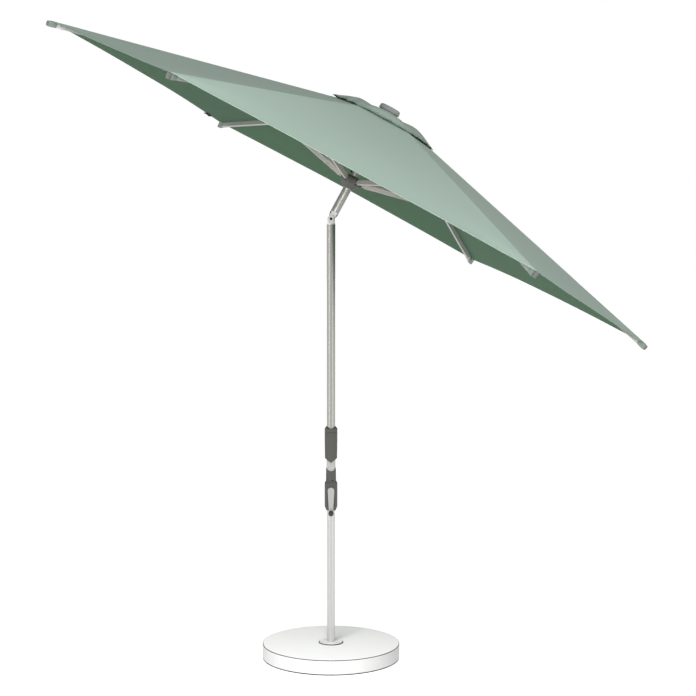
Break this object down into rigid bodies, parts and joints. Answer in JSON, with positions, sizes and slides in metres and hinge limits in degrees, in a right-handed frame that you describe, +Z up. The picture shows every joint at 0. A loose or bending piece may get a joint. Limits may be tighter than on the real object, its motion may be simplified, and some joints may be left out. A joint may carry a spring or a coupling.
{
  "type": "tilting crank parasol",
  "caption": "Hexagonal patio umbrella with a crank, a collar that tilts the canopy, folding ribs and a round weighted base.",
  "frame": {"origin": "centre of the base's underside, on the ground", "axes": "+Z up along the main pole; +X towards the side that the canopy tilts down to; +Y to the rear, with the crank facing -Y"},
  "size_m": [2.6368, 2.5974, 2.816],
  "materials": {
    "slab": "smooth painted concrete",
    "black_rubber": "matte",
    "white_steel": "satin powder coat",
    "lower_tube": "satin anodised",
    "pole_tube": "satin anodised",
    "dark_plastic": "fine moulded grain",
    "black_plastic": "moulded",
    "knob_plastic": "moulded",
    "cap_grey": "moulded",
    "white_plastic": "moulded",
    "cast_alloy": "as cast",
    "silver_alloy": "bright cast",
    "black_steel": "blackened",
    "steel": "zinc plated",
    "arm_grey": "satin paint",
    "rib_tube": "satin powder coat",
    "strut_tube": "satin powder coat",
    "cord": "braided polyester",
    "strap_webbing": "woven webbing",
    "canopy_fabric": "plain weave polyester"
  },
  "bodies": {
    "base": {"base_slab": "slab", "edge_bead": "black_rubber", "foot_pad": "black_rubber", "flange_gasket": "black_rubber", "socket": "white_steel", "flange_screws": "white_steel"},
    "pole": {"lower_pole": "lower_tube", "pole_foot_plug": "dark_plastic", "crank_core": "cast_alloy", "main_pole": "pole_tube", "housing_front": "dark_plastic", "housing_rear": "dark_plastic", "housing_screws": "black_steel", "spool_bushes": "white_plastic", "brake_spring": "steel", "collar_guide": "white_plastic", "knuckle_fork": "silver_alloy", "knuckle_pin": "black_steel", "lift_cord_lower": "cord"},
    "collar": {"tilt_collar": "dark_plastic", "collar_crown": "dark_plastic"},
    "crank": {"crank_shaft": "steel", "cord_spool": "white_plastic", "crank_arm": "arm_grey", "knob_pin": "steel"},
    "knob": {"crank_knob": "knob_plastic"},
    "head": {"knuckle_tongue": "silver_alloy", "knuckle_buffer": "black_plastic", "upper_pole": "pole_tube", "stop_button": "black_plastic", "top_hub": "dark_plastic", "hub_pins": "steel", "cord_pulley": "white_plastic", "pulley_pin": "steel", "lift_cord_upper": "cord", "finial_base": "dark_plastic", "finial_cap": "cap_grey", "gore_1": "canopy_fabric", "gore_2": "canopy_fabric", "gore_3": "canopy_fabric", "gore_4": "canopy_fabric", "gore_5": "canopy_fabric", "gore_6": "canopy_fabric", "vent_cap": "canopy_fabric", "tie_strap": "strap_webbing"},
    "runner": {"runner": "dark_plastic", "runner_liner": "white_plastic", "runner_pins": "steel"},
    "rib_1": {"rib_1": "rib_tube"},
    "rib_2": {"rib_2": "rib_tube"},
    "rib_3": {"rib_3": "rib_tube"},
    "rib_4": {"rib_4": "rib_tube"},
    "rib_5": {"rib_5": "rib_tube"},
    "rib_6": {"rib_6": "rib_tube"},
    "strut_1": {"strut_1": "strut_tube"},
    "strut_2": {"strut_2": "strut_tube"},
    "strut_3": {"strut_3": "strut_tube"},
    "strut_4": {"strut_4": "strut_tube"},
    "strut_5": {"strut_5": "strut_tube"},
    "strut_6": {"strut_6": "strut_tube"}
  },
  "joints": [
    {"name": "pole_turn", "type": "hinge", "parent": "base", "child": "pole", "pos_m": [0, 0, 0.065], "axis": [0, 0, 1], "continuous": true},
    {"name": "tilt", "type": "hinge", "parent": "pole", "child": "head", "pos_m": [0, 0, 1.953], "axis": [0, -1, 0], "range_deg": [0, 28.4]},
    {"name": "collar_twist", "type": "hinge", "parent": "pole", "child": "collar", "pos_m": [0, 0, 0.95], "axis": [0, 0, 1], "range_deg": [0, 180]},
    {"name": "crank_turn", "type": "hinge", "parent": "pole", "child": "crank", "pos_m": [0, 0, 0.753], "axis": [0, -1, 0], "range_deg": [0, 573]},
    {"name": "knob_spin", "type": "hinge", "parent": "crank", "child": "knob", "pos_m": [0, -0.05, 0.655], "axis": [0, -1, 0], "continuous": true},
    {"name": "runner_slide", "type": "slide", "parent": "head", "child": "runner", "axis": [-0.4756, 0, -0.8796], "range_m": [0, 0.105]},
    {"name": "rib_hinge_1", "type": "hinge", "parent": "head", "child": "rib_1", "pos_m": [0.2768, 0, 2.38084], "axis": [0, 1, 0], "range_deg": [0, 4.5]},
    {"name": "rib_hinge_2", "type": "hinge", "parent": "head", "child": "rib_2", "pos_m": [0.25921, 0.03464, 2.39035], "axis": [-0.7618, 0.5, 0.4119], "range_deg": [0, 4.5]},
    {"name": "rib_hinge_3", "type": "hinge", "parent": "head", "child": "rib_3", "pos_m": [0.22402, 0.03464, 2.40937], "axis": [-0.7618, -0.5, 0.4119], "range_deg": [0, 4.5]},
    {"name": "rib_hinge_4", "type": "hinge", "parent": "head", "child": "rib_4", "pos_m": [0.20643, 0, 2.41889], "axis": [0, -1, 0], "range_deg": [0, 4.5]},
    {"name": "rib_hinge_5", "type": "hinge", "parent": "head", "child": "rib_5", "pos_m": [0.22402, -0.03464, 2.40937], "axis": [0.7618, -0.5, -0.4119], "range_deg": [0, 4.5]},
    {"name": "rib_hinge_6", "type": "hinge", "parent": "head", "child": "rib_6", "pos_m": [0.25921, -0.03464, 2.39035], "axis": [0.7618, 0.5, -0.4119], "range_deg": [0, 4.5]},
    {"name": "strut_hinge_1", "type": "hinge", "parent": "runner", "child": "strut_1", "pos_m": [0.12907, 0, 2.09921], "axis": [0, 1, 0], "range_deg": [-4.6, 0]},
    {"name": "strut_hinge_2", "type": "hinge", "parent": "runner", "child": "strut_2", "pos_m": [0.10972, 0.03811, 2.10967], "axis": [-0.7618, 0.5, 0.4119], "range_deg": [-4.6, 0]},
    {"name": "strut_hinge_3", "type": "hinge", "parent": "runner", "child": "strut_3", "pos_m": [0.07102, 0.03811, 2.1306], "axis": [-0.7618, -0.5, 0.4119], "range_deg": [-4.6, 0]},
    {"name": "strut_hinge_4", "type": "hinge", "parent": "runner", "child": "strut_4", "pos_m": [0.05166, 0, 2.14106], "axis": [0, -1, 0], "range_deg": [-4.6, 0]},
    {"name": "strut_hinge_5", "type": "hinge", "parent": "runner", "child": "strut_5", "pos_m": [0.07102, -0.03811, 2.1306], "axis": [0.7618, -0.5, -0.4119], "range_deg": [-4.6, 0]},
    {"name": "strut_hinge_6", "type": "hinge", "parent": "runner", "child": "strut_6", "pos_m": [0.10972, -0.03811, 2.10967], "axis": [0.7618, 0.5, -0.4119], "range_deg": [-4.6, 0]}
  ],
  "couplings": [
    {"joint": "collar_twist", "follows": "tilt", "ratio": 6.338},
    {"joint": "crank_turn", "follows": "runner_slide", "rad_per_m": 95.238},
    {"joint": "rib_hinge_1", "follows": "runner_slide", "rad_per_m": 0.7192},
    {"joint": "rib_hinge_2", "follows": "runner_slide", "rad_per_m": 0.7192},
    {"joint": "rib_hinge_3", "follows": "runner_slide", "rad_per_m": 0.7192},
    {"joint": "rib_hinge_4", "follows": "runner_slide", "rad_per_m": 0.7192},
    {"joint": "rib_hinge_5", "follows": "runner_slide", "rad_per_m": 0.7192},
    {"joint": "rib_hinge_6", "follows": "runner_slide", "rad_per_m": 0.7192},
    {"joint": "strut_hinge_1", "follows": "runner_slide", "rad_per_m": -0.7557},
    {"joint": "strut_hinge_2", "follows": "runner_slide", "rad_per_m": -0.7557},
    {"joint": "strut_hinge_3", "follows": "runner_slide", "rad_per_m": -0.7557},
    {"joint": "strut_hinge_4", "follows": "runner_slide", "rad_per_m": -0.7557},
    {"joint": "strut_hinge_5", "follows": "runner_slide", "rad_per_m": -0.7557},
    {"joint": "strut_hinge_6", "follows": "runner_slide", "rad_per_m": -0.7557}
  ]
}
